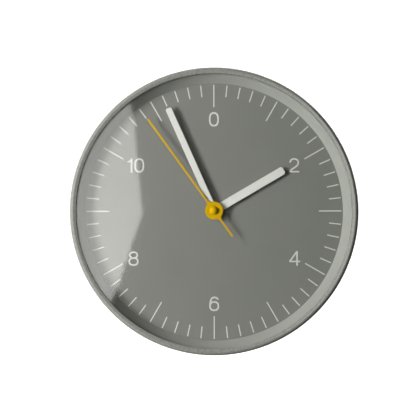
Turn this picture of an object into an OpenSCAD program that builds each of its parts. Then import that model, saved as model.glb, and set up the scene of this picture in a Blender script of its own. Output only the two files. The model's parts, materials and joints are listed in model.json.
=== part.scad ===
// Round quartz wall clock with a dial, three hands, a domed lens and its battery movement.
//
// Every module works in clock coordinates: X to the right and Y up as the dial is read, and Z out
// of the wall. The wall is Z = 0 and the hands turn about X = Y = 0. wall_mounted() then stands the
// clock up, so that in the finished model +Z is up and the dial faces -Y.

/* [Case] */
// Widest diameter of the front rim
rim_d = 265; // [262:1:270]
// Height of the rim's crest above the wall
rim_h = 32; // [31.5:0.5:33]
// Height of the middle of the lens above the wall
lens_h = 37; // [36:0.5:39]
// Wall thickness of the case shell
shell_wall = 2.5; // [2:0.1:3]
// Side of the square window in the back, behind the movement
window = 60; // [58:0.5:64]

/* [Hanging keyhole] */
// Distance from the hands' axis up to the keyhole's round entry
keyhole_y = 95; // [88:1:100]
// Diameter of the round entry, which passes the screw's head
keyhole_d = 9; // [8:0.5:10]
// Width of the slot, which holds the screw's shank
keyhole_slot = 4.4; // [4:0.1:5]

/* [Dial] */
// Diameter of the dial that shows inside the sloping ring
dial_d = 238.2; // [236:0.2:240]
// Radius of the outer ends of the minute marks
mark_outer_r = 117.7; // [114:0.1:118]
// Length of a minute mark
minute_mark = 10.9; // [8:0.1:12]
// Length of the mark at every fifth minute
five_mark = 20.9; // [14:0.1:22]
// Width of every mark
mark_w = 1; // [0.6:0.1:1.6]
// Height of the numerals
numeral_h = 13.35; // [12.5:0.05:14.5]
// Stroke width of the numerals
numeral_stroke = 1.5; // [1.2:0.05:1.8]
// Distance from the hands' axis up or down to the middle of the top and bottom numerals
numeral_far = 85.5; // [82:0.5:88]
// Distance from the hands' axis sideways to the middle of the side numerals
numeral_side = 74.3; // [70:0.1:77]

/* [Hands] */
// Angle of the hour hand, clockwise from the top
hour_angle = 59.6; // [0:0.1:360]
// Angle of the minute hand, clockwise from the top
minute_angle = -23.95; // [-180:0.05:180]
// Angle of the second hand, clockwise from the top
second_angle = -35.7; // [-180:0.1:180]
// Length of the hour hand
hour_len = 74.8; // [60:0.1:80]
// Width of the hour hand
hour_w = 7.7; // [6:0.1:9]
// Length of the minute hand
minute_len = 104.3; // [90:0.1:108]
// Width of the minute hand
minute_w = 5.8; // [4:0.1:7]
// Length of the second hand's needle
second_len = 104.6; // [90:0.1:108]
// Length of the second hand's tail
second_tail = 29.3; // [20:0.1:40]
// Width of the second hand's needle
second_w = 1.7; // [1.2:0.1:2.2]
// Diameter of the second hand's hub
second_hub_d = 16.6; // [14:0.2:18]

/* [Hidden] */
$fn = 96;

// Case heights above the wall, and radii
shell_back_r = 116;
shell_top = 22;
shell_top_r = rim_d / 2 - 1;
spigot_top = 25;
spigot_r = 129.4;
spigot_bore_r = 127.5;
ledge_r = 115;
ledge_h = 2.5;
rib_count = 8;
rib_w = 1.6;
rib_h = 4;
pocket_wall = 1.2;
pocket_h = 7;
slot_rise = 9;

// Dial, sloping ring and lens
dial_back = 18.5;
dial_t = 1;
dial_face = dial_back + dial_t;
dial_plate_r = 124;
print_t = 0.15;
rehaut_top_r = 126.6;
rehaut_top = 28;
rehaut_wall_r = 127.3;
rehaut_skin = 1.2;
lens_r = 127;
lens_t = 2;
lens_edge_r = 126;
lens_chamfer = 0.7;
lens_rise = lens_h - rehaut_top - lens_t;
lens_sphere_r = (lens_edge_r * lens_edge_r + lens_rise * lens_rise) / (2 * lens_rise);
lens_centre_h = lens_h - lens_sphere_r;
gasket_r = 127.6;
gasket_t = lens_t - 0.1;
lip_r = 126.8;
lip_h = rim_h - 0.7;
rim_round = 3.1;

// Hand heights and the tubes that carry them
hour_h = 22;
minute_h = 23.6;
second_h = 25.4;
hand_t = 1;
second_t = 0.5;
hour_boss_r = 6.5;
minute_boss_r = 5.6;
hour_tube_r = 2.5;
minute_tube_r = 1.5;
second_arbor_r = 0.6;
arbor_r = 0.5;
fit = 0.05;
cap_r = 4;
cap_rise = 2.8;
flare_r = 4;
hour_corner = 2.1;
minute_corner = 1.6;

// Movement
box = 28;
box_wall = 1;
front_plate = 16;
front_plate_t = 1.5;
box_back = 1.2;
cover_back = 3.6;
cover_t = 1.2;
cover_face = cover_back + cover_t;
bay_wall_y = -12.2;
bush_r = 4;
bush_top = 21.8;
nut_across_flats = 12;
nut_bottom = 20;
nut_t = 1.6;
washer_r = 7;
pivot_depth = 0.8;
bridge_bottom = 9.9;
bridge_t = 1;
bridge_posts = [[-21, -6], [-12.2, 12], [20, 8]];
post_r = 1.6;

// Battery: an AA cell lying along X
cell_y = -19.6;
cell_h = 8.6;
cell_r = 7.15;
cell_len = 49.2;
cell_nub = 1.3;
cell_x = -24.2;

// Gear teeth and modules, and the place and height of each wheel
second_teeth = 50;
third_teeth = 60;
centre_teeth = 64;
fifth_teeth = 48;
setting_teeth = 36;
hour_teeth = 40;
small_pinion = 8;
fifth_pinion = 10;
setting_pinion = 10;
cannon_teeth = 12;
mod_second = 0.3;
mod_rotor = 0.22;
mod_centre = mod_second * (third_teeth + small_pinion) / (centre_teeth + small_pinion);
mod_minute = 0.35;
mod_hour = mod_minute * (setting_teeth + cannon_teeth) / (hour_teeth + setting_pinion);

third_dir = 185;
fifth_dir = 50;
rotor_dir = 60;
setting_dir = -30;
knob_dir = 0;

function polar(r, a) = [r * cos(a), r * sin(a)];
function spacing(m, n1, n2) = m * (n1 + n2) / 2;

third_at = polar(spacing(mod_second, third_teeth, small_pinion), third_dir);
fifth_at = polar(spacing(mod_second, second_teeth, fifth_pinion), fifth_dir);
rotor_at = fifth_at + polar(spacing(mod_rotor, fifth_teeth, small_pinion), rotor_dir);
setting_at = polar(spacing(mod_minute, setting_teeth, cannon_teeth), setting_dir);
knob_at = setting_at + polar(spacing(mod_minute, setting_teeth, cannon_teeth), knob_dir);

// Bottom and top of each toothed layer
rotor_layer = [5.3, 6.1];
second_layer = [6.6, 7.4];
third_layer = [8.3, 9.1];
centre_layer = [11.3, 12.1];
cannon_layer = [12.8, 13.8];
hour_layer = [14.4, 15.4];
arbor_back = cover_face - pivot_depth + 0.1;

// Motor and electronics
rotor_gap_r = 3.5;
stator_bottom = 7.6;
stator_t = 1;
coil_y = 21;
coil_h = 9;
coil_x = [-4, 16];
core_w = 3.2;
core_t = 0.8;
board = [-26.5, -14.2];
board_bottom = 13.6;
board_t = 1;

// Tooth phase of a gear that meshes with another: its first tooth's angle, so that a tooth of one
// lies in a gap of the other. dir is the direction from the first gear's centre to the second's.
function mesh_phase(n1, phase1, dir, n2) = dir + 180 - (180 - n1 * (dir - phase1)) / n2;

fifth_phase = mesh_phase(second_teeth, 0, fifth_dir, fifth_pinion);
rotor_phase = mesh_phase(fifth_teeth, 0, rotor_dir, small_pinion);
third_phase = mesh_phase(small_pinion, 0, third_dir, third_teeth);
centre_phase = mesh_phase(small_pinion, 0, third_dir + 180, centre_teeth);
setting_phase = mesh_phase(cannon_teeth, 0, setting_dir, setting_teeth);
hour_phase = mesh_phase(setting_pinion, 0, setting_dir + 180, hour_teeth);
knob_phase = mesh_phase(setting_teeth, setting_phase, knob_dir, cannon_teeth);

// ---------------------------------------------------------------- helpers

// Stands the clock up: its Y becomes +Z, and the dial faces -Y.
module wall_mounted() {
    rotate([90, 0, 0]) children();
}

module at_height(h) {
    translate([0, 0, h]) children();
}

module ring(r_out, r_in, h) {
    difference() {
        cylinder(r = r_out, h = h);
        translate([0, 0, -1]) cylinder(r = r_in, h = h + 2);
    }
}

// Clock tooth: radial flank below the pitch circle and a rounded tip above it. Each row is a
// radius, in modules from the pitch circle, and the half width there as a share of the pitch.
tooth_form = [[-1.35, 0.2], [0, 0.205], [0.45, 0.17], [0.8, 0.105], [0.95, 0.05]];

function tooth_points(m, n, a) = [
    for (side = [-1, 1], k = [0 : len(tooth_form) - 1])
        let (row = tooth_form[side < 0 ? k : len(tooth_form) - 1 - k])
        polar(m * (n / 2 + row[0]), a + side * row[1] * 360 / n)
];

module gear_outline(m, n, phase) {
    polygon([for (k = [0 : n - 1]) each tooth_points(m, n, phase + k * 360 / n)]);
}

// Toothed disc between the two heights of a layer
module gear(m, n, phase, layer) {
    at_height(layer[0]) linear_extrude(height = layer[1] - layer[0]) gear_outline(m, n, phase);
}

// Toothed disc with round lightening holes
module pierced_gear(m, n, phase, layer, hole_r, hole_at, holes) {
    difference() {
        gear(m, n, phase, layer);
        for (k = [0 : holes - 1])
            translate(concat(polar(hole_at, (k + 0.5) * 360 / holes), layer[0] - 1))
                cylinder(r = hole_r, h = layer[1] - layer[0] + 2);
    }
}

module arbor(r, bottom, top) {
    at_height(bottom) cylinder(r = r, h = top - bottom);
}

// ---------------------------------------------------------------- case

// Side of the case: an arc that is upright at the rim and meets the flat back at shell_back_r
module shell_side(inset) {
    flare = shell_top_r - shell_back_r;
    side_r = (flare * flare + shell_top * shell_top) / (2 * flare);
    intersection() {
        translate([shell_top_r - side_r, shell_top]) circle(r = side_r - inset);
        translate([0, inset]) square([shell_top_r, shell_top - inset]);
    }
    translate([0, inset]) square([shell_top_r - side_r, shell_top - inset]);
}

module shell_outline() {
    ledge_bottom = dial_back - ledge_h;
    difference() {
        union() {
            shell_side(0);
            translate([0, dial_back]) square([spigot_r, spigot_top - dial_back]);
        }
        intersection() {
            shell_side(shell_wall);
            polygon([
                [0, 0], [shell_top_r, 0], [shell_top_r, ledge_bottom - 3.5],
                [ledge_r, ledge_bottom], [0, ledge_bottom]
            ]);
        }
        translate([0, ledge_bottom - 1]) square([ledge_r, spigot_top]);
        translate([0, dial_back]) square([spigot_bore_r, spigot_top]);
    }
}

module keyhole_shape(grow) {
    circle(r = keyhole_d / 2 + grow);
    translate([0, slot_rise]) circle(r = keyhole_slot / 2 + grow);
    translate([-keyhole_slot / 2 - grow, 0]) square([keyhole_slot + 2 * grow, slot_rise]);
}

// Closed pocket behind the keyhole, in which the screw's head slides up
module keyhole_pocket(grow, h) {
    translate([-keyhole_d / 2 - 1 - grow, keyhole_y - keyhole_d / 2 - 1 - grow, 0])
        cube([keyhole_d + 2 + 2 * grow, keyhole_d + slot_rise + 2 + 2 * grow, h]);
}

module back_ribs() {
    rib_inner = window / 2 + 16;
    for (k = [0 : rib_count - 1])
        rotate((k + 0.5) * 360 / rib_count)
            translate([rib_inner, -rib_w / 2, shell_wall / 2])
                cube([shell_back_r - rib_inner, rib_w, rib_h + shell_wall / 2]);
}

module case_shell() {
    color([0.5, 0.5, 0.47])
    wall_mounted()
    difference() {
        union() {
            rotate_extrude($fn = 180) shell_outline();
            back_ribs();
            at_height(shell_wall / 2) keyhole_pocket(pocket_wall, pocket_h);
        }
        translate([-window / 2, -window / 2, -1]) cube([window, window, shell_wall + 2]);
        at_height(shell_wall) keyhole_pocket(0, pocket_h - shell_wall - pocket_wall + shell_wall / 2);
        translate([0, keyhole_y, -1]) linear_extrude(height = shell_wall + 2) keyhole_shape(0);
    }
}

// Rim that closes the front: a skirt over the spigot, a rounded outer edge and a sloping lip that
// reaches over the edge of the lens
module bezel_outline() {
    edge_r = rim_d / 2;
    lens_top = rehaut_top + lens_t;
    polygon([
        [spigot_r + 0.1, shell_top], [shell_top_r, shell_top], [edge_r, rim_h - rim_round],
        [edge_r - rim_round, rim_h], [lip_r, lip_h], [lip_r, lens_top], [gasket_r, lens_top],
        [gasket_r, spigot_top + 0.2], [spigot_r + 0.1, spigot_top + 0.2]
    ]);
    intersection() {
        translate([edge_r - rim_round, rim_h - rim_round]) circle(r = rim_round);
        translate([edge_r - rim_round, rim_h - rim_round]) square(rim_round);
    }
}

module bezel_ring() {
    color([0.52, 0.52, 0.49]) wall_mounted() rotate_extrude($fn = 180) bezel_outline();
}

// Radial limits of the lens, with its chamfered front edge
module lens_blank() {
    polygon([
        [0, 0], [lens_r, 0], [lens_r, lens_t - lens_chamfer], [lens_r - lens_chamfer, lens_t],
        [lens_r - lens_chamfer, lens_h], [0, lens_h]
    ]);
}

module lens() {
    color([0.85, 0.9, 0.9, 0.3])
    wall_mounted()
    rotate_extrude($fn = 180)
    intersection() {
        translate([0, lens_centre_h]) difference() {
            circle(r = lens_sphere_r);
            circle(r = lens_sphere_r - lens_t);
        }
        translate([0, rehaut_top]) lens_blank();
    }
}

// Soft seal round the edge of the lens, under the rim's lip
module lens_gasket() {
    color([0.3, 0.3, 0.29])
    wall_mounted() at_height(rehaut_top) ring(gasket_r, lens_r, gasket_t, $fn = 180);
}

// Sloping ring between the dial's edge and the lens
module rehaut_ring() {
    color([0.58, 0.58, 0.55])
    wall_mounted()
    rotate_extrude($fn = 180)
    polygon([
        [dial_d / 2, dial_face], [rehaut_top_r, rehaut_top], [rehaut_wall_r, rehaut_top],
        [rehaut_wall_r, dial_face], [rehaut_wall_r - rehaut_skin, dial_face],
        [rehaut_wall_r - rehaut_skin, rehaut_top - 2.2], [dial_d / 2 + 1.6, dial_face]
    ]);
}

// ---------------------------------------------------------------- dial

module dial_plate() {
    color([0.49, 0.49, 0.46])
    wall_mounted() at_height(dial_back) ring(dial_plate_r, bush_r + 0.1, dial_t, $fn = 180);
}

module minute_marks() {
    color([0.87, 0.87, 0.84])
    wall_mounted()
    for (k = [0 : 59]) {
        mark = k % 5 == 0 ? five_mark : minute_mark;
        rotate(-6 * k)
            translate([-mark_w / 2, mark_outer_r - mark, dial_face])
                cube([mark_w, mark, print_t]);
    }
}

// Numerals, drawn on a base line with their middle at X = 0
upper_row = 42.5;
lower_row = -43.8;
arc_steps = 14;
s = numeral_stroke;
full = numeral_h - s;

function unit(v) = v / norm(v);
function left_of(v) = [-v[1], v[0]];

// Outline of a pen stroke along a path
function pen_side(p, w) = [
    for (i = [0 : len(p) - 1])
        let (before = p[max(i - 1, 0)], after = p[min(i + 1, len(p) - 1)])
        p[i] + left_of(unit(after - before)) * w / 2
];
function reversed(p) = [for (i = [len(p) - 1 : -1 : 0]) p[i]];
function pen_stroke(p, w) = concat(pen_side(p, w), pen_side(reversed(p), w));

// Part of an oval, squarer than an ellipse by its bulge
bulge = 2.25;
function oval_power(v, power) = sign(v) * pow(abs(v), 2 / power);
function oval_arc(c, rx, ry, from, to, steps, power = bulge) = [
    for (i = [0 : steps])
        let (a = from + (to - from) * i / steps)
        [c[0] + rx * oval_power(cos(a), power), c[1] + ry * oval_power(sin(a), power)]
];
function bezier(p0, p1, p2, p3) = [
    for (i = [0 : arc_steps])
        let (t = i / arc_steps, u = 1 - t)
        p0 * u * u * u + p1 * 3 * u * u * t + p2 * 3 * u * t * t + p3 * t * t * t
];

module oval_ring(c, rx, ry, power = bulge) {
    steps = 4 * arc_steps;
    last = 360 - 360 / steps;
    difference() {
        polygon(oval_arc(c, rx + s / 2, ry + s / 2, 0, last, steps - 1, power));
        polygon(oval_arc(c, rx - s / 2, ry - s / 2, 0, last, steps - 1, power));
    }
}

module figure_0() {
    oval_ring([0, numeral_h / 2], 3.85, full / 2, 2.5);
}

module figure_1() {
    stem_x = 1.3;
    translate([stem_x - s / 2, 0]) square([s, numeral_h]);
    flag = bezier([stem_x, numeral_h - 0.6], [stem_x - 0.4, numeral_h - 2.5],
        [stem_x - 1.6, numeral_h - 3.1], [stem_x - 3.7, numeral_h - 3.2]);
    polygon(pen_stroke(flag, 1.25));
}

module figure_2() {
    reach = 3.75;
    shoulder = numeral_h - s / 2 - 3.6;
    top = oval_arc([0, shoulder], reach, 3.6, 178, 0, 2 * arc_steps);
    sweep = bezier([reach, shoulder], [reach, shoulder - 4], [-2.9, 4.1], [-3.8, 0.5]);
    polygon(pen_stroke(concat(top, [for (i = [1 : arc_steps]) sweep[i]]), s));
    translate([-4.5, 0]) square([9.1, s * 0.95]);
}

module figure_4() {
    stem_x = 2.1;
    bar_y = 3.2;
    left = -4.95;
    foot = bar_y + s * 0.95;
    slant = (numeral_h - foot) / (stem_x - s / 2 - left);
    inner = left + s * 1.15;
    translate([stem_x - s / 2, 0]) square([s, numeral_h]);
    translate([left, bar_y]) square([9.95, s * 0.9]);
    polygon([
        [left, bar_y], [left, foot], [stem_x - s / 2, numeral_h], [stem_x, numeral_h],
        [stem_x, foot + slant * (stem_x - inner)], [inner, foot], [inner, bar_y]
    ]);
}

module figure_6() {
    bowl = 3.85;
    side = 3.85;
    oval_ring([0, bowl + s / 2], side, bowl);
    crown = numeral_h - s / 2;
    polygon(pen_stroke(concat(
        oval_arc([0.15, crown - 3.1], 3.45, 3.1, 15, 90, arc_steps),
        [for (p = bezier([0.15, crown], [-2.9, crown], [-side, crown - 3.2],
            [-side, bowl + s / 2])) if (p[1] < crown) p]
    ), s));
}

module figure_8() {
    waist = 7.25;
    upper = (numeral_h - s / 2 - waist) / 2;
    lower = (waist - s / 2) / 2;
    oval_ring([0, waist + upper], 3.4, upper);
    oval_ring([0, s / 2 + lower], 3.95, lower);
}

module figure_10() {
    translate([-3.3, 0]) figure_1();
    translate([5.1, 0]) figure_0();
}

// Sets a figure upright on the dial, with its middle at x and y
module on_dial(x, y) {
    translate([x, y - numeral_h / 2, dial_face]) linear_extrude(height = print_t) children();
}

module numerals() {
    color([0.87, 0.87, 0.84])
    wall_mounted() {
        on_dial(0, numeral_far) figure_0();
        on_dial(numeral_side, upper_row) figure_2();
        on_dial(numeral_side, lower_row) figure_4();
        on_dial(0, -numeral_far) figure_6();
        on_dial(-numeral_side, lower_row) figure_8();
        on_dial(-numeral_side, upper_row) figure_10();
    }
}

module fixing_nut() {
    color([0.78, 0.66, 0.36])
    wall_mounted()
    at_height(nut_bottom)
    difference() {
        cylinder(r = nut_across_flats / 2 / cos(30), h = nut_t, $fn = 6);
        translate([0, 0, -1]) cylinder(r = bush_r, h = nut_t + 2);
    }
}

module flat_washer() {
    color([0.75, 0.75, 0.76])
    wall_mounted() at_height(dial_face) ring(washer_r, bush_r + 0.1, nut_bottom - dial_face);
}

module rubber_washer() {
    color([0.1, 0.1, 0.1])
    wall_mounted()
    at_height(front_plate + front_plate_t)
    ring(washer_r + 1, bush_r + 0.1, dial_back - front_plate - front_plate_t);
}

// ---------------------------------------------------------------- movement

module movement_case() {
    color([0.12, 0.12, 0.13])
    wall_mounted()
    difference() {
        union() {
            translate([-box, -box, front_plate]) cube([2 * box, 2 * box, front_plate_t]);
            difference() {
                translate([-box, -box, cover_face])
                    cube([2 * box, 2 * box, front_plate - cover_face]);
                translate([-box + box_wall, -box + box_wall, cover_face - 1])
                    cube([2 * box - 2 * box_wall, 2 * box - 2 * box_wall, front_plate]);
            }
            difference() {
                translate([-box, -box, box_back])
                    cube([2 * box, bay_wall_y + box + box_wall, front_plate - box_back]);
                translate([-box + box_wall, -box + box_wall, box_back - 1])
                    cube([2 * box - 2 * box_wall, bay_wall_y + box - box_wall, front_plate]);
            }
            arbor(bush_r, front_plate, bush_top);
            for (p = bridge_posts)
                translate(p) arbor(post_r, bridge_bottom + bridge_t, front_plate + 0.5);
            translate(setting_at) arbor(arbor_r + 0.3, 12.4, front_plate + 0.5);
            for (x = [board[0] + 2, board[1] - 2])
                translate([x, coil_y + 3.5]) arbor(1, board_bottom + board_t, front_plate + 0.5);
        }
        arbor(hour_tube_r + fit, front_plate - 1, bush_top + 1);
        translate(third_at) arbor(arbor_r + fit, front_plate - 1, front_plate + pivot_depth);
        translate(knob_at) arbor(1.5 + fit, front_plate - 1, front_plate + pivot_depth);
    }
}

module movement_cover() {
    color([0.14, 0.14, 0.15])
    wall_mounted()
    difference() {
        translate([-box, bay_wall_y + box_wall, cover_back])
            cube([2 * box, box - bay_wall_y - box_wall, cover_t]);
        translate(knob_at) arbor(1.5 + fit, cover_back - 1, cover_face + 1);
        for (p = [[0, 0], fifth_at, rotor_at, third_at])
            translate(p) arbor((p == [0, 0] ? second_arbor_r : arbor_r) + fit,
                cover_face - pivot_depth, cover_face + 1);
    }
}

module train_bridge() {
    color([0.85, 0.84, 0.78])
    wall_mounted()
    difference() {
        at_height(bridge_bottom) linear_extrude(height = bridge_t) polygon([
            [-23.5, -9], [-18, -9], [-9, -7.5], [9, -7.5], [12, 2], [22.5, 5], [22.5, 11],
            [12.5, 16.3], [-14.5, 15], [-23.5, -3]
        ]);
        arbor(second_arbor_r + fit, bridge_bottom - 1, bridge_bottom + bridge_t + 1);
        for (p = [fifth_at, rotor_at, third_at])
            translate(p) arbor(arbor_r + fit, bridge_bottom - 1, bridge_bottom + bridge_t + 1);
    }
}

module bridge_screws() {
    color([0.75, 0.75, 0.76])
    wall_mounted()
    for (p = bridge_posts)
        translate(concat(p, bridge_bottom - 0.7))
            difference() {
                cylinder(r = 1.3, h = 0.7);
                translate([-0.2, -2, -1]) cube([0.4, 4, 1.3]);
            }
}

// Iron of the stepping motor: a ring round the rotor and two legs up to the coil
module stator_plate() {
    leg_w = 4.4;
    color([0.6, 0.6, 0.62])
    wall_mounted()
    at_height(stator_bottom) linear_extrude(height = stator_t) difference() {
        union() {
            translate(rotor_at) circle(r = rotor_gap_r + 1.3);
            translate([coil_x[0] - leg_w - 1, 10]) square([coil_x[1] - coil_x[0] + 2 * leg_w + 2, 4.6]);
            for (x = [coil_x[0] - leg_w - 1, coil_x[1] + 1])
                translate([x, 10]) square([leg_w, coil_y - 10 + core_w / 2]);
        }
        translate(rotor_at) circle(r = rotor_gap_r);
    }
}

module coil_core() {
    over = 5.4;
    color([0.62, 0.62, 0.64])
    wall_mounted()
    translate([coil_x[0] - over, coil_y - core_w / 2, stator_bottom + stator_t])
        cube([coil_x[1] - coil_x[0] + 2 * over, core_w, core_t]);
}

module coil_bobbin() {
    flange_t = 0.8;
    color([0.9, 0.9, 0.86])
    wall_mounted()
    difference() {
        translate([coil_x[0], coil_y, coil_h]) rotate([0, 90, 0]) {
            cylinder(r = 2.3, h = coil_x[1] - coil_x[0]);
            cylinder(r = 4, h = flange_t);
            translate([0, 0, coil_x[1] - coil_x[0] - flange_t]) cylinder(r = 4, h = flange_t);
        }
        translate([coil_x[0] - 1, coil_y - core_w / 2 - 0.05, stator_bottom + stator_t - 0.05])
            cube([coil_x[1] - coil_x[0] + 2, core_w + 0.1, core_t + 0.1]);
    }
}

module coil_winding() {
    color([0.72, 0.36, 0.16])
    wall_mounted()
    translate([coil_x[0] + 0.8, coil_y, coil_h])
        rotate([0, 90, 0]) ring(3.7, 2.3, coil_x[1] - coil_x[0] - 1.6);
}

module circuit_board() {
    color([0.16, 0.36, 0.2])
    wall_mounted()
    translate([board[0], -2, board_bottom]) cube([board[1] - board[0], 28, board_t]);
}

module chip_cap() {
    color([0.05, 0.05, 0.05])
    wall_mounted()
    translate([-20.5, 8, board_bottom])
        rotate([180, 0, 0])
            rotate_extrude() intersection() {
                translate([0, -5.5]) circle(r = 6.9);
                square([5, 2]);
            }
}

module quartz_crystal() {
    can_r = 1;
    color([0.8, 0.8, 0.82])
    wall_mounted()
    translate([-24, 17, board_bottom - can_r]) rotate([0, 90, 0]) cylinder(r = can_r, h = 6);
}

// ---------------------------------------------------------------- battery

module battery_cell() {
    color([0.25, 0.3, 0.36])
    wall_mounted()
    translate([cell_x, cell_y, cell_h])
    rotate([0, 90, 0])
    rotate_extrude()
    polygon([
        [0, 0], [5.2, 0], [5.2, 0.3], [6.7, 0.3], [cell_r, 0.75], [cell_r, cell_len - 0.7],
        [6.6, cell_len - 0.2], [5.6, cell_len - 0.2], [5.2, cell_len - 0.6],
        [2.75, cell_len - 0.6], [2.75, cell_len + cell_nub - 0.2],
        [2.55, cell_len + cell_nub], [0, cell_len + cell_nub]
    ]);
}

// Flat spring strip at the cell's raised end
module battery_contact_positive() {
    strip_t = 0.4;
    end_x = cell_x + cell_len + cell_nub;
    bay_x = box - box_wall;
    color([0.8, 0.8, 0.78])
    wall_mounted() {
        translate([bay_x - strip_t, cell_y - 4, cell_h - 6.5]) cube([strip_t, 8, 13.8]);
        translate([end_x, cell_y - 2.5, cell_h - 2.5]) cube([bay_x - strip_t - end_x, 5, 5]);
    }
}

// Coiled contact at the cell's flat end: a wire that winds outwards as it nears the wall
module battery_contact_negative() {
    wire_r = 0.35;
    turns = 3;
    bay_x = -box + box_wall;
    reach = cell_x - bay_x - 0.4;
    step = (reach - 2 * wire_r) / turns;
    color([0.8, 0.8, 0.78])
    wall_mounted()
    translate([bay_x, cell_y, cell_h]) {
        translate([0, -4.5, -4.5]) cube([0.4, 9, 11]);
        rotate([0, 90, 0])
            for (k = [0 : turns])
                at_height(0.4 + wire_r + k * step)
                    rotate_extrude() translate([4.2 - 0.55 * k, 0]) circle(r = wire_r);
        for (k = [0 : turns - 1])
            translate([0.4 + wire_r + k * step, 0, 3.9 - 0.55 * k])
                rotate([0, 90, 0]) cylinder(r = wire_r, h = step);
    }
}

// ---------------------------------------------------------------- hands

// Straight hand with rounded corners, pointing along +Y
module hand_blade(w, len, corner) {
    translate([-w / 2, 0]) square([w, len - corner]);
    translate([-w / 2 + corner, 0]) square([w - 2 * corner, len]);
    for (x = [-1, 1])
        translate([x * (w / 2 - corner), len - corner]) circle(r = corner);
}

module hour_hand() {
    color([0.9, 0.9, 0.87])
    wall_mounted()
    rotate(-hour_angle) at_height(hour_h) linear_extrude(height = hand_t) difference() {
        union() {
            hand_blade(hour_w, hour_len, hour_corner);
            circle(r = hour_boss_r);
        }
        circle(r = hour_tube_r);
    }
}

module minute_hand() {
    color([0.9, 0.9, 0.87])
    wall_mounted()
    rotate(-minute_angle) at_height(minute_h) linear_extrude(height = hand_t) difference() {
        union() {
            hand_blade(minute_w, minute_len, minute_corner);
            circle(r = minute_boss_r);
        }
        circle(r = minute_tube_r);
    }
}

// Hub edge that flares smoothly into a straight bar along +Y
module hub_flare(hub_r, w) {
    x = w / 2 + flare_r;
    reach = sqrt(pow(hub_r + flare_r, 2) - x * x);
    touch = [x, reach] * hub_r / (hub_r + flare_r);
    difference() {
        polygon([
            [0, 0], touch, [w / 2, reach], [-w / 2, reach], [-touch[0], touch[1]]
        ]);
        for (side = [-1, 1]) translate([side * x, reach]) circle(r = flare_r);
    }
}

module second_hand() {
    hub_r = second_hub_d / 2;
    color([0.86, 0.65, 0])
    wall_mounted()
    rotate(-second_angle) {
        at_height(second_h) linear_extrude(height = second_t) difference() {
            union() {
                circle(r = hub_r);
                translate([-second_w / 2, -second_tail])
                    square([second_w, second_tail + second_len]);
                hub_flare(hub_r, second_w);
                rotate(180) hub_flare(hub_r, second_w);
            }
            circle(r = second_arbor_r);
        }
        translate([0, -6.8, second_h + second_t / 2]) cylinder(r = 0.55, h = second_t / 2 + 0.25);
    }
}

// Domed cap over the second hand's hub
module second_hand_cap() {
    dome_r = (cap_r * cap_r + cap_rise * cap_rise) / (2 * cap_rise);
    color([0.86, 0.65, 0])
    wall_mounted()
    at_height(second_h + second_t)
    difference() {
        rotate_extrude() intersection() {
            translate([0, cap_rise - dome_r]) circle(r = dome_r);
            square([cap_r + 1, cap_rise]);
        }
        at_height(-1) cylinder(r = second_arbor_r, h = 2);
    }
}

// ---------------------------------------------------------------- wheels

module second_wheel() {
    color([0.93, 0.92, 0.86])
    wall_mounted() {
        pierced_gear(mod_second, second_teeth, 0, second_layer, 1.5, 4.3, 5);
        gear(mod_second, small_pinion, 0, [second_layer[1] - 0.1, third_layer[1]]);
        arbor(second_arbor_r, arbor_back, second_h + second_t + 1);
    }
}

module fifth_wheel() {
    color([0.93, 0.92, 0.86])
    wall_mounted()
    translate(fifth_at) {
        pierced_gear(mod_rotor, fifth_teeth, 0, rotor_layer, 1.1, 3.1, 4);
        gear(mod_second, fifth_pinion, fifth_phase, [rotor_layer[1] - 0.2, second_layer[1]]);
        arbor(arbor_r, arbor_back, bridge_bottom + bridge_t - 0.1);
    }
}

module rotor_pinion() {
    color([0.93, 0.92, 0.86])
    wall_mounted()
    translate(rotor_at) {
        gear(mod_rotor, small_pinion, rotor_phase, [rotor_layer[0], rotor_layer[1] + 0.4]);
        arbor(arbor_r, arbor_back, bridge_bottom + bridge_t - 0.1);
    }
}

module rotor_magnet() {
    color([0.2, 0.2, 0.21])
    wall_mounted()
    translate(concat(rotor_at, rotor_layer[1] + 0.9)) ring(3, arbor_r, 2.6);
}

module third_wheel() {
    color([0.93, 0.92, 0.86])
    wall_mounted()
    translate(third_at) {
        pierced_gear(mod_second, third_teeth, third_phase, third_layer, 2, 5.6, 6);
        gear(mod_centre, small_pinion, 0, [centre_layer[0] - 0.3, centre_layer[1] + 0.2]);
        arbor(arbor_r, arbor_back, front_plate + pivot_depth - 0.1);
    }
}

// Driving wheel of the minute hand, which turns the cannon pinion through a friction clutch
module centre_wheel() {
    color([0.93, 0.92, 0.86])
    wall_mounted()
    difference() {
        union() {
            pierced_gear(mod_centre, centre_teeth, centre_phase, centre_layer, 1.8, 5.6, 6);
            arbor(2.2, centre_layer[0] - 0.3, cannon_layer[0] - 0.1);
        }
        arbor(second_arbor_r + fit, centre_layer[0] - 1, cannon_layer[0] + 1);
    }
}

module cannon_pinion() {
    color([0.93, 0.92, 0.86])
    wall_mounted()
    difference() {
        union() {
            gear(mod_minute, cannon_teeth, 0, cannon_layer);
            arbor(minute_tube_r, cannon_layer[0], minute_h + hand_t + 0.4);
        }
        arbor(second_arbor_r + fit, cannon_layer[0] - 1, minute_h + 2);
    }
}

module hour_wheel() {
    color([0.93, 0.92, 0.86])
    wall_mounted()
    difference() {
        union() {
            gear(mod_hour, hour_teeth, hour_phase, hour_layer);
            arbor(hour_tube_r, hour_layer[0], hour_h + hand_t + 0.25);
        }
        arbor(minute_tube_r + fit, hour_layer[0] - 1, hour_h + 2);
    }
}

module setting_wheel() {
    color([0.93, 0.92, 0.86])
    wall_mounted()
    translate(setting_at)
    difference() {
        union() {
            gear(mod_minute, setting_teeth, setting_phase, cannon_layer);
            gear(mod_hour, setting_pinion, 0, [cannon_layer[1] - 0.2, hour_layer[1] + 0.2]);
        }
        arbor(arbor_r + 0.3 + fit, cannon_layer[0] - 1, front_plate);
    }
}

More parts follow.
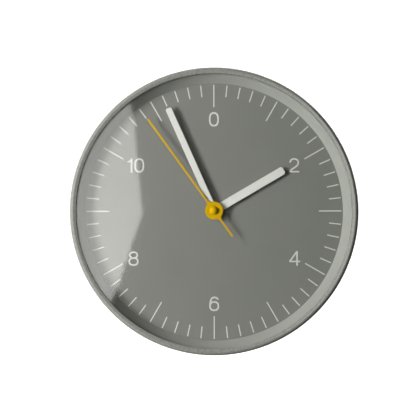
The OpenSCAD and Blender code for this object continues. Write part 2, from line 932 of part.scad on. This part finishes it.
// Knob on the back that sets the minute and hour hands
module setting_knob() {
    knob_r = 5.6;
    grips = 20;
    color([0.12, 0.12, 0.13])
    wall_mounted()
    translate(knob_at) {
        at_height(box_back) linear_extrude(height = cover_back - box_back - 0.2) difference() {
            circle(r = knob_r);
            for (k = [0 : grips - 1])
                translate(polar(knob_r + 0.25, k * 360 / grips)) circle(r = 0.55);
        }
        arbor(1.5, cover_back - 0.6, front_plate + pivot_depth - 0.1);
        gear(mod_minute, cannon_teeth, knob_phase, cannon_layer);
    }
}

case_shell();
bezel_ring();
lens();
lens_gasket();
rehaut_ring();
dial_plate();
minute_marks();
numerals();
fixing_nut();
flat_washer();
rubber_washer();
movement_case();
movement_cover();
train_bridge();
bridge_screws();
stator_plate();
coil_core();
coil_bobbin();
coil_winding();
circuit_board();
chip_cap();
quartz_crystal();
battery_cell();
battery_contact_positive();
battery_contact_negative();
second_hand();
second_hand_cap();
second_wheel();
fifth_wheel();
rotor_pinion();
rotor_magnet();
third_wheel();
centre_wheel();
minute_hand();
cannon_pinion();
hour_hand();
hour_wheel();
setting_wheel();
setting_knob();
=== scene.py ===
import json
import math

import bmesh
import bpy
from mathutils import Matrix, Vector


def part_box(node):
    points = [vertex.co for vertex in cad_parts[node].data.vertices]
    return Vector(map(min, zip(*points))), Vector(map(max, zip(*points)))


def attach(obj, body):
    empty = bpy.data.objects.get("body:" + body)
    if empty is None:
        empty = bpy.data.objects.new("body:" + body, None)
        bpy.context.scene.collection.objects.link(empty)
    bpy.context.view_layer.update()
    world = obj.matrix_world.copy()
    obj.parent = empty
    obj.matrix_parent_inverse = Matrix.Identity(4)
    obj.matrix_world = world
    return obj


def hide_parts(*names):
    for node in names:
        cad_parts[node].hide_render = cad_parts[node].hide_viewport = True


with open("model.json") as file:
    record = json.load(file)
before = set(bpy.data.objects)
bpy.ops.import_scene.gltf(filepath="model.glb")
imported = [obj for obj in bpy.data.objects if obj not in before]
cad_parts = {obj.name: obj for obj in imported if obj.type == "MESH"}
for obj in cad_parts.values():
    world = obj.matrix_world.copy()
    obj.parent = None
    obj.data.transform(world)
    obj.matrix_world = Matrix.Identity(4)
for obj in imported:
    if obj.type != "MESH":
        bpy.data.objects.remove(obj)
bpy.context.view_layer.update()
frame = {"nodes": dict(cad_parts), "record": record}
NODES = frame["nodes"]


# ---------------------------------------------------------------- materials

class Finish:
    """A node material with one Principled shader and procedural inputs."""

    def __init__(self, name):
        self.mat = bpy.data.materials.new(name)
        self.mat.use_nodes = True
        self.tree = self.mat.node_tree
        self.tree.nodes.clear()
        self.out = self.add("ShaderNodeOutputMaterial")
        self.coord = self.add("ShaderNodeTexCoord").outputs["Object"]
        self.height = None

    def add(self, kind, **values):
        node = self.tree.nodes.new(kind)
        for key, value in values.items():
            setattr(node, key, value)
        return node

    def link(self, source, socket):
        self.tree.links.new(source, socket)

    def shader(self, **sockets):
        self.bsdf = self.add("ShaderNodeBsdfPrincipled")
        for key, value in sockets.items():
            self.bsdf.inputs[key.replace("_", " ")].default_value = value
        self.link(self.bsdf.outputs["BSDF"], self.out.inputs["Surface"])
        return self

    def noise(self, scale, detail=3.0, rough=0.55):
        node = self.add("ShaderNodeTexNoise")
        node.inputs["Scale"].default_value = scale
        node.inputs["Detail"].default_value = detail
        node.inputs["Roughness"].default_value = rough
        self.link(self.coord, node.inputs["Vector"])
        return node.outputs["Fac"]

    def ramp(self, factor, stops):
        node = self.add("ShaderNodeValToRGB")
        elements = node.color_ramp.elements
        while len(elements) < len(stops):
            elements.new(0.5)
        for element, (place, colour) in zip(elements, stops):
            element.position = place
            element.color = (*colour, 1.0)
        self.link(factor, node.inputs["Fac"])
        return node.outputs["Color"]

    def span(self, value, low, high, to_low, to_high):
        node = self.add("ShaderNodeMapRange")
        for key, number in zip(("From Min", "From Max", "To Min", "To Max"), (low, high, to_low, to_high)):
            node.inputs[key].default_value = number
        self.link(value, node.inputs["Value"])
        return node.outputs["Result"]

    def bands(self, per_metre):
        """Parallel ridges across X."""
        node = self.add("ShaderNodeTexWave", wave_type="BANDS", bands_direction="X")
        node.inputs["Scale"].default_value = per_metre
        self.link(self.coord, node.inputs["Vector"])
        return node.outputs["Fac"]

    def along_x(self, low, high):
        """0 to 1 between two distances along X."""
        split = self.add("ShaderNodeSeparateXYZ")
        self.link(self.coord, split.inputs["Vector"])
        return self.span(split.outputs["X"], low, high, 0.0, 1.0)

    def maths(self, operation, a, b=None):
        node = self.add("ShaderNodeMath", operation=operation)
        for socket, value in zip(node.inputs, (a, b)):
            if value is None:
                continue
            if isinstance(value, (int, float)):
                socket.default_value = value
            else:
                self.link(value, socket)
        return node.outputs[0]

    def colour(self, source):
        self.link(source, self.bsdf.inputs["Base Color"])
        return self

    def roughness(self, source):
        self.link(source, self.bsdf.inputs["Roughness"])
        return self

    def bump(self, height, depth):
        """Adds relief of that depth in metres on top of any relief already there."""
        node = self.add("ShaderNodeBump")
        node.inputs["Distance"].default_value = depth
        self.link(height, node.inputs["Height"])
        if self.height is not None:
            self.link(self.height, node.inputs["Normal"])
        self.height = node.outputs["Normal"]
        self.link(self.height, self.bsdf.inputs["Normal"])
        return self


def tinted(colour, share):
    return tuple(min(1.0, c * share) for c in colour)


def painted(name, colour, rough, spread, grain_scale, grain_depth, mottle):
    """Sprayed or printed paint: faint colour drift, uneven gloss and a fine orange peel."""
    f = Finish(name).shader(Roughness=rough)
    drift = f.noise(38.0, 4.0, 0.6)
    f.colour(f.ramp(drift, [(0.3, tinted(colour, 1 - mottle)), (0.7, tinted(colour, 1 + mottle))]))
    f.roughness(f.span(f.noise(420.0, 3.0), 0.3, 0.7, rough - spread, rough + spread))
    f.bump(f.noise(grain_scale, 2.0, 0.6), grain_depth)
    return f


def moulded(name, colour, rough, grain_scale=2600.0, grain_depth=0.00002, mottle=0.08):
    """Injection-moulded plastic with a spark-eroded surface."""
    f = Finish(name).shader(Roughness=rough)
    flow = f.noise(60.0, 3.0, 0.5)
    f.colour(f.ramp(flow, [(0.3, tinted(colour, 1 - mottle)), (0.7, tinted(colour, 1 + mottle))]))
    f.roughness(f.span(f.noise(700.0, 2.0), 0.3, 0.7, rough - 0.06, rough + 0.08))
    f.bump(f.noise(grain_scale, 1.0, 0.5), grain_depth)
    return f


def metal(name, colour, rough):
    """Bare metal: tumbled grain, and tarnish in soft patches."""
    f = Finish(name).shader(Metallic=1.0, Roughness=rough)
    patches = f.noise(240.0, 4.0, 0.6)
    f.colour(f.ramp(patches, [(0.32, tinted(colour, 0.86)), (0.68, colour)]))
    grain = f.noise(900.0, 2.0, 0.6)
    f.roughness(f.span(grain, 0.3, 0.7, rough - 0.08, rough + 0.12))
    f.bump(grain, 0.000008)
    return f


MAT = {}
MAT["case_paint"] = moulded("case_paint", (0.20, 0.203, 0.187), 0.44, 1900.0, 0.00003, 0.04)
MAT["rim_paint"] = painted("rim_paint", (0.165, 0.167, 0.153), 0.28, 0.05, 1700.0, 0.000012, 0.03)
MAT["ring_paint"] = painted("ring_paint", (0.280, 0.283, 0.262), 0.36, 0.05, 2400.0, 0.00001, 0.03)
MAT["dial_paint"] = painted("dial_paint", (0.170, 0.172, 0.157), 0.55, 0.05, 3200.0, 0.00001, 0.025)
MAT["dial_print"] = painted("dial_print", (0.56, 0.56, 0.52), 0.5, 0.06, 2600.0, 0.000012, 0.05)
MAT["hand_paint"] = painted("hand_paint", (0.60, 0.597, 0.565), 0.5, 0.05, 2400.0, 0.000015, 0.03)
MAT["second_hand_paint"] = painted("second_hand_paint", (0.50, 0.30, 0.0), 0.5, 0.05, 2400.0, 0.00001, 0.03)
MAT["second_hand_paint"].bsdf.inputs["Specular IOR Level"].default_value = 0.08
MAT["movement_plastic"] = moulded("movement_plastic", (0.045, 0.045, 0.048), 0.42)
MAT["wheel_plastic"] = moulded("wheel_plastic", (0.80, 0.78, 0.70), 0.38, 3000.0, 0.000008, 0.05)
MAT["gasket_rubber"] = moulded("gasket_rubber", (0.09, 0.09, 0.085), 0.6)
MAT["brass"] = metal("brass", (0.80, 0.58, 0.24), 0.25)
MAT["steel"] = metal("steel", (0.62, 0.62, 0.63), 0.28)
MAT["contact_nickel"] = metal("contact_nickel", (0.72, 0.70, 0.66), 0.24)
MAT["magnet"] = metal("magnet", (0.14, 0.14, 0.15), 0.5)
MAT["copper_wire"] = metal("copper_wire", (0.66, 0.26, 0.09), 0.3)
MAT["copper_wire"].bump(MAT["copper_wire"].bands(900.0), 0.00006)
MAT["board_laminate"] = moulded("board_laminate", (0.03, 0.16, 0.07), 0.35)


MIRROR_SHARE = 0.06


def clear_lens():
    """Clear glass: see-through, with a share of soft mirror that grows towards grazing angles."""
    f = Finish("lens_glass")
    facing = f.add("ShaderNodeLayerWeight")
    facing.inputs["Blend"].default_value = 0.5
    fifth = f.maths("POWER", facing.outputs["Facing"], 5.0)
    share = f.maths("ADD", f.maths("MULTIPLY", fifth, 1.0 - MIRROR_SHARE), MIRROR_SHARE)
    see = f.add("ShaderNodeBsdfTransparent")
    see.inputs["Color"].default_value = (0.985, 0.99, 0.985, 1.0)
    mirror = f.add("ShaderNodeBsdfGlossy")
    mirror.inputs["Roughness"].default_value = 0.055
    mix = f.add("ShaderNodeMixShader")
    f.link(share, mix.inputs["Fac"])
    f.link(see.outputs[0], mix.inputs[1])
    f.link(mirror.outputs[0], mix.inputs[2])
    f.link(mix.outputs[0], f.out.inputs["Surface"])
    return f


def printed_sleeve():
    """Shrink sleeve of the cell: a dark body, a pale line and a copper-coloured end."""
    f = Finish("cell_jacket").shader(Roughness=0.28, Coat_Weight=0.4, Coat_Roughness=0.1)
    dark, pale, copper = (0.018, 0.02, 0.026), (0.62, 0.60, 0.55), (0.50, 0.20, 0.06)
    f.colour(f.ramp(f.along_x(-0.0245, 0.0255), [(0.0, dark), (0.66, pale), (0.685, copper)]))
    f.bsdf.inputs["Base Color"].links[0].from_node.color_ramp.interpolation = "CONSTANT"
    f.roughness(f.span(f.noise(300.0, 3.0), 0.3, 0.7, 0.22, 0.36))
    f.bump(f.noise(500.0, 2.0), 0.00002)
    return f


MAT["lens_glass"] = clear_lens()
MAT["cell_jacket"] = printed_sleeve()

FINISH_OF = {
    "case_shell": "case_paint",
    "bezel_ring": "rim_paint",
    "rehaut_ring": "ring_paint",
    "dial_plate": "dial_paint",
    "minute_marks": "dial_print",
    "numerals": "dial_print",
    "lens": "lens_glass",
    "lens_gasket": "gasket_rubber",
    "rubber_washer": "gasket_rubber",
    "hour_hand": "hand_paint",
    "minute_hand": "hand_paint",
    "second_hand": "second_hand_paint",
    "second_hand_cap": "second_hand_paint",
    "movement_case": "movement_plastic",
    "movement_cover": "movement_plastic",
    "chip_cap": "movement_plastic",
    "setting_knob": "movement_plastic",
    "fixing_nut": "brass",
    "flat_washer": "steel",
    "bridge_screws": "steel",
    "stator_plate": "steel",
    "coil_core": "steel",
    "quartz_crystal": "steel",
    "coil_winding": "copper_wire",
    "circuit_board": "board_laminate",
    "battery_cell": "cell_jacket",
    "battery_contact_positive": "contact_nickel",
    "battery_contact_negative": "contact_nickel",
    "rotor_magnet": "magnet",
}

for node_name, node in NODES.items():
    finish = MAT[FINISH_OF.get(node_name, "wheel_plastic")]
    node.data.materials.clear()
    node.data.materials.append(finish.mat)


# ------------------------------------------------------------------- pieces

def mesh_object(name, verts, faces):
    mesh = bpy.data.meshes.new(name)
    mesh.from_pydata(verts, [], faces)
    mesh.update()
    obj = bpy.data.objects.new(name, mesh)
    bpy.context.scene.collection.objects.link(obj)
    return obj


MM = 0.001
BODY_OF = {node: body for body, nodes in frame["record"]["behaviour"]["bodies"].items() for node in nodes}
SLOT_OF = {row["node"]: row["material_slot"] for row in frame["record"]["subparts"]}


def at(x, y, h):
    """A point given in millimetres across, up and out from the wall."""
    return Vector((x, -h, y)) * MM


def finished(obj, slot, body="case"):
    """Gives a new piece its finish, its slot and the body that it rides on."""
    obj.data.materials.clear()
    obj.data.materials.append(MAT[slot].mat)
    obj.data.polygons.foreach_set("use_smooth", [True] * len(obj.data.polygons))
    obj.data.set_sharp_from_angle(angle=math.radians(32))
    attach(obj, body)
    return obj


def prism(name, outlines, h0, h1):
    """Upright walls over flat outlines, closed at both heights."""
    verts, faces = [], []
    for outline in outlines:
        first, n = len(verts), len(outline)
        verts += [at(x, y, h0) for x, y in outline] + [at(x, y, h1) for x, y in outline]
        faces.append(tuple(range(first + n - 1, first - 1, -1)))
        faces.append(tuple(range(first + n, first + 2 * n)))
        for k in range(n):
            j = (k + 1) % n
            faces.append((first + k, first + j, first + n + j, first + n + k))
    return outward(mesh_object(name, verts, faces))


def turned(name, profile, place, count=72):
    """A profile of (along, radius) turned round an axis; place(along, u, v) puts it in the clock."""
    verts, faces = [], []
    rows = []
    for along, radius in profile:
        if radius == 0:
            rows.append([len(verts)] * count)
            verts.append(place(along, 0, 0))
            continue
        rows.append(list(range(len(verts), len(verts) + count)))
        for k in range(count):
            a = 2 * math.pi * k / count
            verts.append(place(along, radius * math.cos(a), radius * math.sin(a)))
    for low, high in zip(rows, rows[1:] + rows[:1]):
        for k in range(count):
            j = (k + 1) % count
            corners = list(dict.fromkeys((low[k], low[j], high[j], high[k])))
            if len(corners) > 2:
                faces.append(tuple(corners))
    return outward(mesh_object(name, verts, faces))


def reworked(obj, work):
    """Runs one mesh edit on a piece."""
    bm = bmesh.new()
    bm.from_mesh(obj.data)
    work(bm)
    bm.to_mesh(obj.data)
    bm.free()
    return obj


def outward(obj):
    return reworked(obj, lambda bm: bmesh.ops.recalc_face_normals(bm, faces=bm.faces))


def cut(obj, cutters):
    """Takes the cutters' shapes away from a piece for good."""
    for cutter in cutters:
        step = obj.modifiers.new("cut", "BOOLEAN")
        step.operation = "DIFFERENCE"
        step.solver = "EXACT"
        step.object = cutter
    bpy.context.view_layer.update()
    solid = bpy.data.meshes.new_from_object(obj.evaluated_get(bpy.context.evaluated_depsgraph_get()))
    obj.modifiers.clear()
    obj.data = solid
    for cutter in cutters:
        bpy.data.objects.remove(cutter)
    return obj


WELD = 0.002 * MM
FLAT = math.radians(0.6)


def eased(node, width, cutters=()):
    """Stands in for a CAD node with the same shape and softly broken edges."""
    obj = bpy.data.objects.new(node + "_eased", NODES[node].data.copy())
    bpy.context.scene.collection.objects.link(obj)
    reworked(obj, lambda bm: bmesh.ops.remove_doubles(bm, verts=bm.verts, dist=WELD))
    if cutters:
        cut(obj, cutters)
    reworked(obj, lambda bm: bmesh.ops.dissolve_limit(
        bm, angle_limit=FLAT, verts=bm.verts, edges=bm.edges))
    if width:
        step = obj.modifiers.new("ease", "BEVEL")
        step.width = width * MM
        step.segments = 2
        step.limit_method = "ANGLE"
        step.angle_limit = math.radians(40)
    finished(obj, SLOT_OF[node], BODY_OF[node])
    even = obj.modifiers.new("even_shading", "WEIGHTED_NORMAL")
    even.keep_sharp = True
    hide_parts(node)
    return obj


def circle(cx, cy, radius, count=48):
    return [
        (cx + radius * math.cos(2 * math.pi * k / count), cy + radius * math.sin(2 * math.pi * k / count))
        for k in range(count)
    ]


def rectangle(x0, y0, x1, y1):
    return [(x0, y0), (x1, y0), (x1, y1), (x0, y1)]


def middle(node):
    low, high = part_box(node)
    return (low.x + high.x) / 2 / MM, (low.z + high.z) / 2 / MM


# Hands
eased("hour_hand", 0.2)
eased("minute_hand", 0.2)
eased("second_hand", 0.12)

# Back of the case: two shallow grooves, wells for screws and pockets for soft pads
GROOVES = (62.0, 88.5)
PAD_RING = 105
SCREW_RING = 106


def round_the_back(radius, angles):
    return [(radius * math.cos(math.radians(a)), radius * math.sin(math.radians(a))) for a in angles]


PAD_AT = round_the_back(PAD_RING, (45, 135, 225, 315))
SCREW_AT = round_the_back(SCREW_RING, (10, 170, 270))


def groove(radius):
    wide, deep = 0.7, 0.7
    section = [(-1.0, radius - wide), (-1.0, radius + wide), (deep, radius + 0.3), (deep, radius - 0.3)]
    return turned("groove", section, lambda h, u, v: at(u, v, h), 180)


wells = [groove(radius) for radius in GROOVES]
wells += [prism("well", [circle(x, y, 7.0)], -1.0, 1.1) for x, y in PAD_AT]
wells += [prism("well", [circle(x, y, 3.6)], -1.0, 1.9) for x, y in SCREW_AT]
eased("case_shell", 0.0, wells)

for index, (px, py) in enumerate(PAD_AT):
    section = [(1.1, 0), (1.1, 6.7), (0.35, 6.7), (0.1, 6.5), (0.02, 6.1), (0.02, 0)]
    pad = turned(f"back_pad_{index + 1}", section, lambda h, u, v, px=px, py=py: at(px + u, py + v, h))
    finished(pad, "gasket_rubber")

for index, (px, py) in enumerate(SCREW_AT):
    section = [(1.9, 0), (1.9, 2.9), (1.2, 2.9), (0.75, 2.5), (0.5, 1.8), (0.4, 0)]
    head = turned(f"case_screw_{index + 1}", section, lambda h, u, v, px=px, py=py: at(px + u, py + v, h))
    turn = math.radians(25 + 50 * index)
    cross = []
    for quarter in (0, math.pi / 2):
        c, s = math.cos(turn + quarter), math.sin(turn + quarter)
        blade = [(-1.7, -0.28), (1.7, -0.28), (1.7, 0.28), (-1.7, 0.28)]
        cross.append(prism("cross", [[(px + c * x - s * y, py + s * x + c * y) for x, y in blade]], 0.0, 1.3))
    finished(cut(head, cross), "steel")

# Movement: softened mouldings, snap hooks, raised arrows and polarity marks
COVER_BACK = 3.6
eased("movement_cover", 0.25)
eased("movement_case", 0.2)
eased("setting_knob", 0.12)


def arc_arrow(cx, cy, radius, start, sweep, width=0.7, head=2.2):
    """A curved arrow drawn as one outline; the sweep's sign gives its direction."""
    count = 14
    sign = 1 if sweep > 0 else -1
    reach = math.radians(sweep) - sign * head / radius
    def point(r, a):
        return cx + r * math.cos(a), cy + r * math.sin(a)
    a0 = math.radians(start)
    angles = [a0 + reach * k / count for k in range(count + 1)]
    outer = [point(radius + width / 2, a) for a in angles]
    inner = [point(radius - width / 2, a) for a in reversed(angles)]
    tip = [
        point(radius + head / 2, angles[-1]),
        point(radius, angles[-1] + sign * head / radius),
        point(radius - head / 2, angles[-1]),
    ]
    return outer + tip + inner


KNOB_X, KNOB_Y = middle("setting_knob")
marks = [
    arc_arrow(KNOB_X, KNOB_Y, 7.6, 20, 130),
    arc_arrow(KNOB_X, KNOB_Y, 7.6, 200, 130),
    rectangle(18.4, -9.2, 22.4, -8.4),
    rectangle(20.0, -10.8, 20.8, -9.2),
    rectangle(20.0, -8.4, 20.8, -6.8),
    rectangle(-22.4, -9.2, -18.4, -8.4),
]
finished(prism("cover_marks", marks, COVER_BACK + 0.3, COVER_BACK - 0.25), "movement_plastic")

border = [
    rectangle(-26.2, 24.8, 26.2, 25.5),
    rectangle(-26.2, -5.0, -25.5, 24.8),
    rectangle(25.5, -5.0, 26.2, 24.8),
    rectangle(-25.5, -5.0, 25.5, -4.3),
]
finished(prism("cover_border", border, COVER_BACK + 0.3, COVER_BACK - 0.18), "movement_plastic")
dots = [circle(x, y, 1.4, 24) for x in (-22.5, 22.5) for y in (-1.5, 21.5)]
finished(prism("cover_dots", dots, COVER_BACK + 0.3, COVER_BACK - 0.1), "movement_plastic")


def snap_hook(index, side, y):
    """A hook on the movement's side wall that holds its cover down."""
    x0, x1 = side * 27.9, side * 29.1
    lip = side * 27.0
    section = [(x0, 9.0), (x1, 9.0), (x1, 3.2), (side * 28.6, 2.7), (lip, 3.55), (x0, 3.6)]
    verts = [at(x, yy, h) for yy in (y - 2.2, y + 2.2) for x, h in section]
    n = len(section)
    faces = [tuple(range(n)), tuple(range(n, 2 * n))]
    faces += [(k, (k + 1) % n, n + (k + 1) % n, n + k) for k in range(n)]
    return finished(outward(mesh_object(f"snap_hook_{index}", verts, faces)), "movement_plastic")


for index, (side, y) in enumerate([(-1, 2.0), (-1, 19.0), (1, 2.0), (1, 19.0)]):
    snap_hook(index + 1, side, y)

# Cell: printed sleeve with rolled ends, bare steel cap and base
CELL_Y, CELL_H = middle("battery_cell")[1], -sum(c.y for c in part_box("battery_cell")) / 2 / MM
CELL_X0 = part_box("battery_cell")[0].x / MM


def on_cell(x, u, v):
    return at(CELL_X0 + x, CELL_Y + u, CELL_H + v)


sleeve = [
    (0.45, 5.9), (0.22, 6.3), (0.25, 6.8), (0.6, 7.1), (1.0, 7.14), (48.2, 7.14), (48.7, 7.08),
    (49.0, 6.8), (49.05, 6.3), (48.8, 5.9),
]
cell_pieces = [
    ("cell_sleeve", sleeve, "cell_jacket"),
    ("cell_base", [(0.0, 0), (0.0, 4.6), (0.35, 5.0), (0.35, 5.9), (0.9, 6.1), (0.9, 0)], "contact_nickel"),
    ("cell_cap", [
        (48.4, 0), (48.4, 6.1), (48.85, 5.9), (48.85, 3.4), (49.2, 2.9), (50.2, 2.75), (50.5, 2.4), (50.5, 0),
    ], "contact_nickel"),
]
for name, section, slot in cell_pieces:
    piece = finished(turned(name, section, on_cell), slot)
    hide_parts("battery_cell")


# Spring contact: one wire wound into a cone
def coil_spring():
    low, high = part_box("battery_contact_negative")
    x0, x1 = low.x / MM + 0.75, CELL_X0 - 0.32
    wire, turns, per_turn = 0.33, 3.2, 36
    count = int(turns * per_turn)
    curve = bpy.data.curves.new("spring_contact", "CURVE")
    curve.dimensions = "3D"
    curve.bevel_depth = wire * MM
    curve.bevel_resolution = 4
    curve.use_fill_caps = True
    line = curve.splines.new("POLY")
    line.points.add(count)
    for k in range(count + 1):
        share = k / count
        a = 2 * math.pi * turns * share
        radius = 4.4 - 2.0 * share
        point = at(x0 + (x1 - x0) * share, CELL_Y + radius * math.cos(a), CELL_H + radius * math.sin(a))
        line.points[k].co = (*point, 1.0)
    obj = bpy.data.objects.new("spring_contact", curve)
    bpy.context.scene.collection.objects.link(obj)
    curve.materials.append(MAT["contact_nickel"].mat)
    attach(obj, "case")
    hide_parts("battery_contact_negative")
    plate = prism("spring_plate", [rectangle(low.x / MM, CELL_Y - 4.5, low.x / MM + 0.4, CELL_Y + 4.5)],
                  CELL_H - 4.5, CELL_H + 6.5)
    finished(plate, "contact_nickel")
    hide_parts("battery_contact_negative")


coil_spring()

# ------------------------------------------------------------ camera, stage

LENS_MM = 129.8
SENSOR_MM = 36.0
EYE = Vector((-0.0052, -1.401, -0.108))
TILT = math.radians(4.59)
ROLL = math.radians(0.08)
TURN = math.radians(0.022)

camera_data = bpy.data.cameras.new("camera")
camera_data.lens = LENS_MM
camera_data.sensor_width = SENSOR_MM
camera = bpy.data.objects.new("camera", camera_data)
bpy.context.scene.collection.objects.link(camera)
camera.location = EYE
camera.rotation_euler = (math.pi / 2 + TILT, ROLL, TURN)
bpy.context.scene.camera = camera
bpy.context.scene.view_settings.view_transform = "Standard"


def cyclorama():
    """A pale floor that sweeps up into a backdrop. It glows by itself and lights nothing else."""
    floor_z, back_y, bend, half = -0.62, 2.3, 0.9, 9.0
    line = [(-9.0, floor_z), (back_y - bend, floor_z)]
    for k in range(1, 13):
        a = math.radians(90 * k / 12)
        line.append((back_y - bend + bend * math.sin(a), floor_z + bend - bend * math.cos(a)))
    line.append((back_y, 6.0))
    verts = [(side, y, z) for y, z in line for side in (-half, half)]
    faces = [(2 * k, 2 * k + 1, 2 * k + 3, 2 * k + 2) for k in range(len(line) - 1)]
    obj = mesh_object("studio_sweep", verts, faces)
    f = Finish("studio_paper").shader(Roughness=0.9, Emission_Strength=0.62)
    paper = f.ramp(f.noise(0.6, 2.0), [(0.3, (0.80, 0.79, 0.77)), (0.7, (0.84, 0.83, 0.81))])
    f.colour(paper)
    f.link(paper, f.bsdf.inputs["Emission Color"])
    obj.data.polygons.foreach_set("use_smooth", [True] * len(obj.data.polygons))
    obj.data.materials.append(f.mat)
    obj.visible_diffuse = False
    obj.visible_glossy = False


cyclorama()


PANEL_Y = -1.2
PANEL_OUTLINE = [(-0.34, 0.9), (-0.256, 0.109), (-0.253, 0.08), (-0.489, -0.6), (-1.0, -0.6), (-1.0, 0.9)]
PANEL_FADE = (-0.45, 0.35)
PANEL_GLOW = (3.7, 2.65)


def soft_panel():
    """A lit softbox left of the camera. It lights the clock and shows in the lens, not in the picture."""
    verts = [(x, PANEL_Y, z) for x, z in PANEL_OUTLINE]
    obj = mesh_object("softbox_front", verts, [tuple(range(len(verts)))])
    f = Finish("softbox_cloth")
    glow = f.add("ShaderNodeEmission")
    glow.inputs["Color"].default_value = (1.0, 0.995, 0.965, 1.0)
    split = f.add("ShaderNodeSeparateXYZ")
    f.link(f.coord, split.inputs["Vector"])
    f.link(f.span(split.outputs["Z"], *PANEL_FADE, *PANEL_GLOW), glow.inputs["Strength"])
    f.link(glow.outputs[0], f.out.inputs["Surface"])
    obj.data.materials.append(f.mat)
    obj.visible_camera = False


def area_light(name, place, aim, size_x, size_y, watts):
    data = bpy.data.lights.new(name, "AREA")
    data.shape = "RECTANGLE"
    data.size = size_x
    data.size_y = size_y
    data.energy = watts
    obj = bpy.data.objects.new(name, data)
    bpy.context.scene.collection.objects.link(obj)
    obj.location = place
    obj.rotation_euler = (Vector(aim) - Vector(place)).to_track_quat("-Z", "Y").to_euler()
    obj.visible_camera = False
    return obj


soft_panel()
key = area_light("key", (-1.236, -0.833, 0.02), (0, 0, 0), 0.32, 0.9, 50.0)
key.visible_glossy = False
area_light("backdrop_light", (0.0, 1.1, 2.6), (0, 2.3, 0.4), 3.0, 0.6, 60.0)
area_light("rear_key", (0.9, 1.3, 0.9), (0, 0, 0), 1.4, 1.4, 30.0)
area_light("rear_fill", (-1.3, 1.2, -0.1), (0, 0, 0), 1.2, 1.6, 16.0)

world = bpy.data.worlds.new("studio_air")
world.use_nodes = True
world.node_tree.nodes["Background"].inputs["Color"].default_value = (1.0, 1.0, 1.0, 1.0)
world.node_tree.nodes["Background"].inputs["Strength"].default_value = 0.02
bpy.context.scene.world = world
